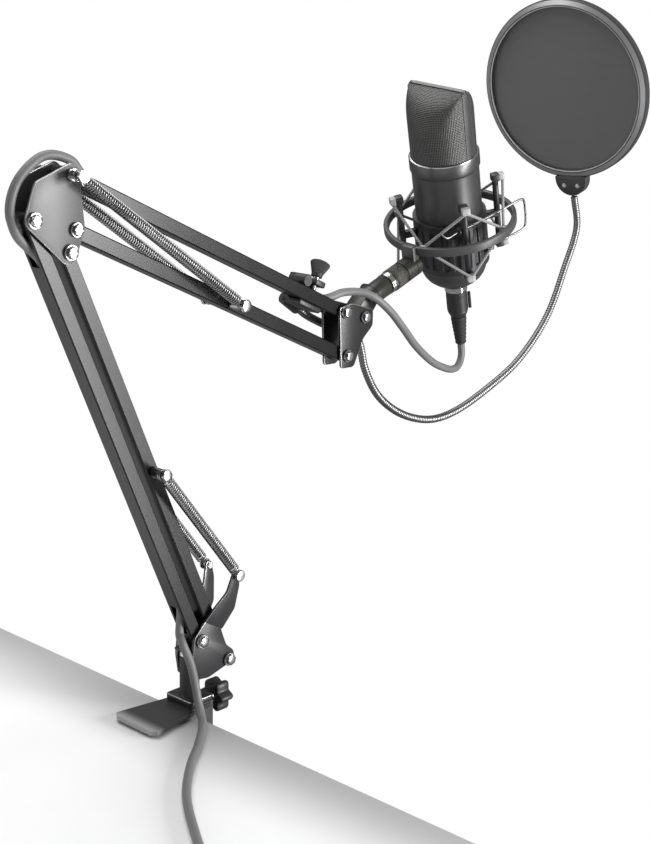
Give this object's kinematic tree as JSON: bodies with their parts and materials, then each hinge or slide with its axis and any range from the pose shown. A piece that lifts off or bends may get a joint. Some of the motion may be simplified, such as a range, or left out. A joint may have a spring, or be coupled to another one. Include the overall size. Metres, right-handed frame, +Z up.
{
  "type": "boom-mounted condenser microphone",
  "caption": "Condenser microphone in a spider shock mount on a sprung desk-clamp scissor boom, with a gooseneck pop filter and its cable.",
  "frame": {"origin": "middle of the upper jaw's face that rests on the desk top", "axes": "+X out along the boom to the microphone, +Z up, -Y the near side of the boom"},
  "size_m": [0.7238, 0.3404, 0.602],
  "materials": {
    "black_steel": "satin powder coat",
    "satin_plate": "satin",
    "bar_grey": "semi-gloss",
    "steel": "bright zinc",
    "spring": "bright wire",
    "chrome": "polished",
    "rubber": "matte",
    "plastic": "fine texture",
    "ring_grey": "satin",
    "cable": "matte jacket",
    "elastic": "woven elastic",
    "mic": "satin graphite",
    "grille": "woven wire",
    "brass": "satin",
    "board": "solder mask",
    "neck": "ribbed, bright",
    "cloth": "fine mesh"
  },
  "bodies": {
    "clamp": {"clamp_frame": "black_steel", "jaw_pad": "rubber", "socket_tube": "black_steel", "cable_desk": "cable", "cable_coil": "cable", "usb_plug": "plastic"},
    "pressure_pad": {"pressure_pad": "rubber"},
    "screw": {"clamp_screw": "steel"},
    "handle": {"clamp_handle": "steel"},
    "lock": {"lock_knob": "plastic"},
    "base": {"swivel_pin": "black_steel", "base_bracket": "black_steel", "base_bolt_rear": "steel", "base_bolt_front": "steel"},
    "lower_rear": {"lower_bar_rear": "bar_grey", "cable_lower_arm": "cable"},
    "lower_front": {"lower_bar_front": "bar_grey", "lower_spring_pin": "steel", "lower_spring_near": "spring", "lower_spring_far": "spring"},
    "elbow": {"elbow_plate_near": "satin_plate", "elbow_plate_far": "satin_plate", "elbow_bolt_rear": "steel", "elbow_bolt_front": "steel", "elbow_bolt_low": "steel", "elbow_spring_bolt": "steel", "cable_elbow": "cable"},
    "upper_top": {"upper_bar_top": "bar_grey", "cable_upper_arm": "cable", "filter_clamp": "plastic"},
    "upper_low": {"upper_bar_low": "bar_grey", "upper_spring_pin": "steel", "upper_spring_near": "spring", "upper_spring_far": "spring"},
    "head": {"head_plate_near": "black_steel", "head_plate_far": "black_steel", "head_bolt_top": "steel", "head_bolt_low": "steel", "tilt_bolt": "steel", "cable_drop": "cable"},
    "stem": {"stem_block": "black_steel"},
    "thumbscrew": {"tilt_thumbscrew": "plastic"},
    "ring_nut": {"stem_ring": "chrome"},
    "mount": {"shock_ring": "ring_grey", "elastic_cords": "elastic"},
    "basket": {"mic_basket": "plastic", "basket_clip": "steel"},
    "microphone": {"mic_body": "mic", "mic_grille": "grille", "mic_capsule": "brass", "mic_board": "board", "xlr_socket": "chrome"},
    "plug": {"xlr_plug": "plastic", "plug_boot": "rubber"},
    "latch": {"plug_latch": "plastic"},
    "wing": {"filter_clamp_wing": "plastic"},
    "neck": {"gooseneck": "neck"},
    "filter": {"filter_hoop": "plastic", "filter_mesh": "cloth"}
  },
  "joints": [
    {"name": "clamp_close", "type": "slide", "parent": "clamp", "child": "pressure_pad", "axis": [0, 0, 1], "range_m": [-0.029, 0.024]},
    {"name": "clamp_screw_turn", "type": "hinge", "parent": "pressure_pad", "child": "screw", "pos_m": [-0.002, 0, -0.06], "axis": [0, 0, 1], "range_deg": [-5250, 4350]},
    {"name": "handle_slide", "type": "slide", "parent": "screw", "child": "handle", "axis": [0, 1, 0], "range_m": [-0.015, 0.015]},
    {"name": "lock_knob_turn", "type": "hinge", "parent": "clamp", "child": "lock", "pos_m": [0.05, 0, 0.002], "axis": [1, 0, 0], "continuous": true},
    {"name": "base_swivel", "type": "hinge", "parent": "clamp", "child": "base", "pos_m": [0.0273, 0, 0.04], "axis": [0, 0, 1], "range_deg": [-170, 170], "deforming": ["cable_desk"]},
    {"name": "lower_arm", "type": "hinge", "parent": "base", "child": "lower_rear", "pos_m": [0.03, 0, 0.0522], "axis": [0, 1, 0], "range_deg": [-5, 50]},
    {"name": "lower_front_pivot", "type": "hinge", "parent": "base", "child": "lower_front", "pos_m": [0.056, 0, 0.0312], "axis": [0, 1, 0], "range_deg": [-5, 50], "deforming": ["lower_spring_near", "lower_spring_far"]},
    {"name": "elbow_pivot", "type": "hinge", "parent": "lower_rear", "child": "elbow", "pos_m": [-0.10317, 0, 0.35414], "axis": [0, 1, 0], "range_deg": [-50, 5], "deforming": ["cable_elbow"]},
    {"name": "upper_arm", "type": "hinge", "parent": "elbow", "child": "upper_top", "pos_m": [-0.07527, 0, 0.37934], "axis": [0, 1, 0], "range_deg": [-40, 25], "deforming": ["gooseneck"]},
    {"name": "upper_low_pivot", "type": "hinge", "parent": "elbow", "child": "upper_low", "pos_m": [-0.07257, 0, 0.34644], "axis": [0, 1, 0], "range_deg": [-40, 25], "deforming": ["upper_spring_near", "upper_spring_far"]},
    {"name": "head_pivot", "type": "hinge", "parent": "upper_top", "child": "head", "pos_m": [0.17244, 0, 0.26697], "axis": [0, 1, 0], "range_deg": [-25, 40], "deforming": ["cable_drop"]},
    {"name": "head_tilt", "type": "hinge", "parent": "head", "child": "stem", "pos_m": [0.19364, 0, 0.26077], "axis": [0, 1, 0], "range_deg": [-35, 10]},
    {"name": "thumbscrew_turn", "type": "hinge", "parent": "stem", "child": "thumbscrew", "pos_m": [0.22157, 0.01, 0.27454], "axis": [0, 1, 0], "continuous": true},
    {"name": "ring_nut_turn", "type": "hinge", "parent": "stem", "child": "ring_nut", "pos_m": [0.22893, 0, 0.28052], "axis": [0.9354, 0, 0.3535], "continuous": true},
    {"name": "mount_roll", "type": "hinge", "parent": "stem", "child": "mount", "pos_m": [0.23829, 0, 0.28406], "axis": [0.9354, 0, 0.3535], "range_deg": [-45, 45]},
    {"name": "basket_float", "type": "slide", "parent": "mount", "child": "basket", "axis": [-0.3507, -0.1253, 0.9281], "range_m": [-0.003, 0.003], "stiffness_N_per_m": 3000, "springref_m": 0.0015, "deforming": ["elastic_cords"]},
    {"name": "mic_turn", "type": "hinge", "parent": "basket", "child": "microphone", "pos_m": [0.3013, -0.00172, 0.3224], "axis": [-0.3507, -0.1253, 0.9281], "range_deg": [-90, 90]},
    {"name": "plug_pull", "type": "slide", "parent": "microphone", "child": "plug", "axis": [0.3507, 0.1253, -0.9281], "range_m": [0, 0.02]},
    {"name": "latch_press", "type": "slide", "parent": "plug", "child": "latch", "axis": [0.3507, 0.1253, -0.9281], "range_m": [0, 0.0015], "stiffness_N_per_m": 400, "springref_m": -0.0005},
    {"name": "wing_turn", "type": "hinge", "parent": "upper_top", "child": "wing", "pos_m": [0.1442, 0, 0.27978], "axis": [0.4131, 0, 0.9107], "continuous": true},
    {"name": "neck_swivel", "type": "hinge", "parent": "upper_top", "child": "neck", "pos_m": [0.15133, 0.0188, 0.26886], "axis": [0.825, 0, -0.5651], "range_deg": [-20, 20]},
    {"name": "filter_tilt", "type": "hinge", "parent": "neck", "child": "filter", "pos_m": [0.49878, 0.01493, 0.32931], "axis": [0.089, -0.9953, 0.0375], "range_deg": [-30, 30]}
  ],
  "couplings": [
    {"joint": "clamp_screw_turn", "follows": "clamp_close", "rad_per_m": 3141.6},
    {"joint": "lower_front_pivot", "follows": "lower_arm", "ratio": 1},
    {"joint": "elbow_pivot", "follows": "lower_arm", "ratio": -1},
    {"joint": "upper_low_pivot", "follows": "upper_arm", "ratio": 1},
    {"joint": "head_pivot", "follows": "upper_arm", "ratio": -1}
  ]
}
